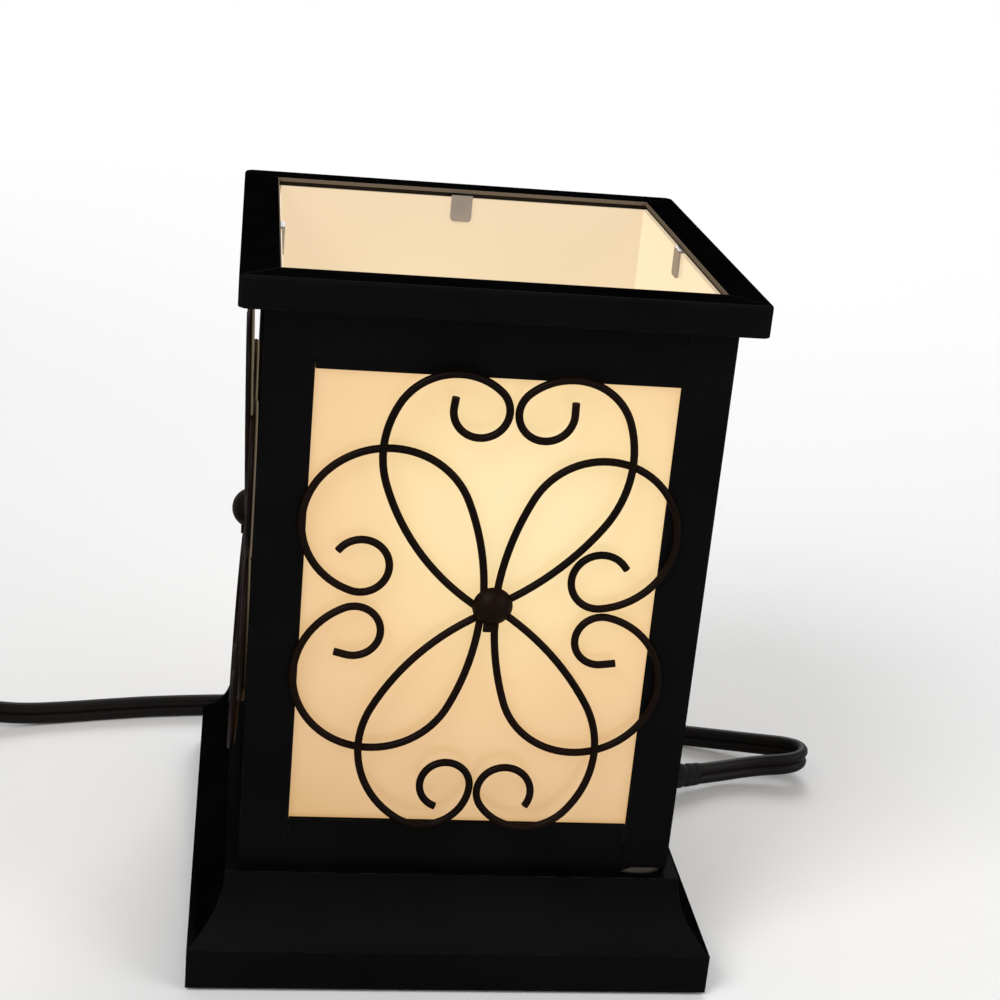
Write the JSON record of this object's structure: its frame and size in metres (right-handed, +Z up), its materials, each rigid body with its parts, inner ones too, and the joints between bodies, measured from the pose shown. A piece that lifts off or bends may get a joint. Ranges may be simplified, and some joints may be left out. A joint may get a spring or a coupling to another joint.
{
  "type": "table lamp",
  "caption": "Square lantern table lamp: black metal cage with opal glass panes under wrought scroll grilles, open top, coved base, flat cord with in-line switch and plug.",
  "frame": {"origin": "middle of the base at table level", "axes": "+Z up, -Y towards the front, +X to the right seen from the front, where the cord leaves the base"},
  "size_m": [0.36, 0.1804, 0.1855],
  "materials": {
    "black_paint": "satin, faintly textured",
    "bronze_paint": "satin dark bronze",
    "white_paint": "satin",
    "opal_glass": "opal, smooth",
    "steel": "satin",
    "brass": "satin",
    "aluminium": "satin",
    "rubber": "matte",
    "cardboard": "matte",
    "phenolic": "matte",
    "bulb_glass": "frosted",
    "bulb_black": "glossy",
    "cord_jacket": "satin",
    "wire_jacket": "satin",
    "tie_plastic": "satin",
    "dark_plastic": "satin",
    "wheel_plastic": "satin"
  },
  "bodies": {
    "base": {"base_shell": "black_paint", "base_cover": "black_paint", "cover_screws": "steel", "rubber_feet": "rubber", "locating_pan": "white_paint", "threaded_nipple": "steel", "nipple_nut": "steel", "nipple_washer": "steel", "socket_cap": "brass", "socket_shell": "brass", "socket_insulator": "cardboard", "socket_core": "phenolic", "terminal_screws": "brass", "threaded_shell": "brass", "centre_contact": "brass", "inner_wires": "wire_jacket", "cord_bushing": "dark_plastic", "cord_at_lamp": "cord_jacket", "cord_after_switch": "cord_jacket", "cord_coil": "cord_jacket", "cord_at_plug": "cord_jacket", "coil_tie": "tie_plastic", "switch_lower_half": "dark_plastic", "switch_upper_half": "dark_plastic", "switch_screws": "steel", "plug_body": "dark_plastic", "plug_blades": "brass"},
    "lantern_cage": {"corner_post_front_left": "black_paint", "corner_post_front_right": "black_paint", "corner_post_back_right": "black_paint", "corner_post_back_left": "black_paint", "top_rail_front": "black_paint", "top_rail_right": "black_paint", "top_rail_back": "black_paint", "top_rail_left": "black_paint", "bottom_rail_front": "black_paint", "bottom_rail_right": "black_paint", "bottom_rail_back": "black_paint", "bottom_rail_left": "black_paint", "glass_pane_front": "opal_glass", "glass_pane_right": "opal_glass", "glass_pane_back": "opal_glass", "glass_pane_left": "opal_glass", "scroll_grille_front": "bronze_paint", "scroll_grille_right": "bronze_paint", "scroll_grille_back": "bronze_paint", "scroll_grille_left": "bronze_paint", "cap_rail_front": "black_paint", "cap_rail_right": "black_paint", "cap_rail_back": "black_paint", "cap_rail_left": "black_paint", "pane_clips": "steel", "grille_domes": "bronze_paint"},
    "bulb": {"bulb_glass": "bulb_glass", "bulb_screw_cap": "aluminium", "bulb_insulator": "bulb_black", "bulb_tip": "brass"},
    "switch_wheel": {"switch_wheel": "wheel_plastic"}
  },
  "joints": [
    {"name": "cage_lift", "type": "slide", "parent": "base", "child": "lantern_cage", "axis": [0, 0, 1], "range_m": [0, 0.135]},
    {"name": "bulb_unscrew", "type": "slide", "parent": "base", "child": "bulb", "axis": [0, 0, 1], "range_m": [0, 0.026]},
    {"name": "switch_turn", "type": "hinge", "parent": "base", "child": "switch_wheel", "pos_m": [-0.16966, 0.04886, 0.007], "axis": [0, 0, 1], "continuous": true}
  ]
}
